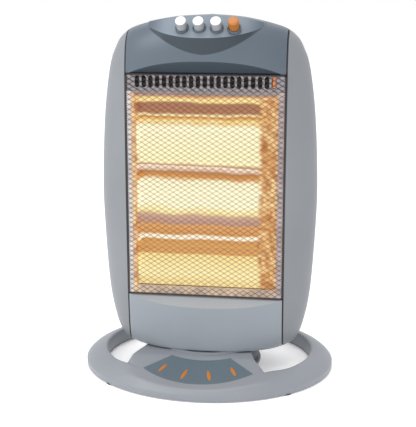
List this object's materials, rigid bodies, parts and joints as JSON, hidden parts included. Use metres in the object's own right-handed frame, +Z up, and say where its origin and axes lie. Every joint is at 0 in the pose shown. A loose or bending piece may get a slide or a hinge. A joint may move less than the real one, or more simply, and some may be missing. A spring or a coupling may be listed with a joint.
{
  "type": "halogen heater",
  "caption": "Upright halogen heater: rounded grey body with a diamond-mesh grille, trough reflector, tube lamps and push buttons, turning on an oval ring base.",
  "frame": {"origin": "on the floor, on the vertical axis that the body turns on, which is also the middle of the oval base", "axes": "+Z up, front (grille and buttons) towards -Y, +X to the right seen from the front"},
  "size_m": [0.34, 0.292, 0.473],
  "materials": {
    "shell_grey": "satin",
    "ring_grey": "satin",
    "panel_grey": "satin",
    "cover_blue_grey": "satin",
    "insert_slate": "satin",
    "orange": "gloss",
    "white": "gloss",
    "dark_plastic": "matte",
    "black_plastic": "matte",
    "foot_rubber": "matte",
    "polished_reflector": "polished",
    "grille_wire": "polished",
    "plain_steel": "satin",
    "quartz": "clear",
    "tungsten": "glowing",
    "ceramic": "matte"
  },
  "bodies": {
    "base": {"base_top_shell": "ring_grey", "base_bottom_cover": "panel_grey", "base_insert_panel": "insert_slate", "accent_mark_1": "orange", "accent_mark_2": "orange", "accent_mark_3": "orange", "accent_mark_4": "orange", "hub_cup": "dark_plastic", "slotted_drive_plate": "black_plastic", "pivot_tube": "plain_steel", "rubber_foot_1": "foot_rubber", "rubber_foot_2": "foot_rubber", "rubber_foot_3": "foot_rubber", "rubber_foot_4": "foot_rubber", "tip_switch_body": "black_plastic", "cord_inlet_gland": "black_plastic", "turntable_washer": "black_plastic"},
    "tip_plunger": {"tip_switch_plunger": "white"},
    "heater": {"side_shell_left": "shell_grey", "side_shell_right": "shell_grey", "top_cover": "cover_blue_grey", "lower_front_panel": "panel_grey", "back_cover": "shell_grey", "bottom_plate": "dark_plastic", "pivot_clip": "plain_steel", "oscillation_motor": "plain_steel", "grille": "grille_wire", "reflector": "polished_reflector", "reflector_end_left": "polished_reflector", "reflector_end_right": "polished_reflector", "heat_shield": "plain_steel", "lamp_bracket_left": "plain_steel", "lamp_bracket_right": "plain_steel", "thermal_cutout": "black_plastic", "switch_bracket": "plain_steel", "lamp_tube_1": "quartz", "filament_1": "tungsten", "ceramic_cap_left_1": "ceramic", "ceramic_cap_right_1": "ceramic", "lamp_tube_2": "quartz", "filament_2": "tungsten", "ceramic_cap_left_2": "ceramic", "ceramic_cap_right_2": "ceramic", "lamp_tube_3": "quartz", "filament_3": "tungsten", "ceramic_cap_left_3": "ceramic", "ceramic_cap_right_3": "ceramic", "push_switch_1": "black_plastic", "push_switch_2": "black_plastic", "push_switch_3": "black_plastic", "push_switch_4": "black_plastic", "back_screw_1": "plain_steel", "back_screw_2": "plain_steel", "back_screw_3": "plain_steel", "back_screw_4": "plain_steel"},
    "crank": {"crank_arm": "plain_steel"},
    "button_1": {"power_button_1": "white"},
    "button_2": {"power_button_2": "white"},
    "button_3": {"power_button_3": "white"},
    "button_4": {"oscillation_button": "orange"}
  },
  "joints": [
    {"name": "oscillation", "type": "hinge", "parent": "base", "child": "heater", "pos_m": [0, 0, 0.034], "axis": [0, 0, 1], "range_deg": [-35, 35]},
    {"name": "crank_turn", "type": "hinge", "parent": "heater", "child": "crank", "pos_m": [0, 0.02, 0.028], "axis": [0, 0, 1], "range_deg": [-126, 126]},
    {"name": "tip_switch", "type": "slide", "parent": "base", "child": "tip_plunger", "axis": [0, 0, -1], "range_m": [0, 0.004], "stiffness_N_per_m": 60, "springref_m": 0.004},
    {"name": "power_1_press", "type": "slide", "parent": "heater", "child": "button_1", "axis": [0, 0.7431, -0.6691], "range_m": [0, 0.0045], "stiffness_N_per_m": 300},
    {"name": "power_2_press", "type": "slide", "parent": "heater", "child": "button_2", "axis": [0, 0.7431, -0.6691], "range_m": [0, 0.0045], "stiffness_N_per_m": 300},
    {"name": "power_3_press", "type": "slide", "parent": "heater", "child": "button_3", "axis": [0, 0.7431, -0.6691], "range_m": [0, 0.0045], "stiffness_N_per_m": 300},
    {"name": "oscillation_switch_press", "type": "slide", "parent": "heater", "child": "button_4", "axis": [0, 0.7431, -0.6691], "range_m": [0, 0.0045], "stiffness_N_per_m": 300}
  ],
  "couplings": [
    {"joint": "crank_turn", "follows": "oscillation", "ratio": -3.5714}
  ]
}
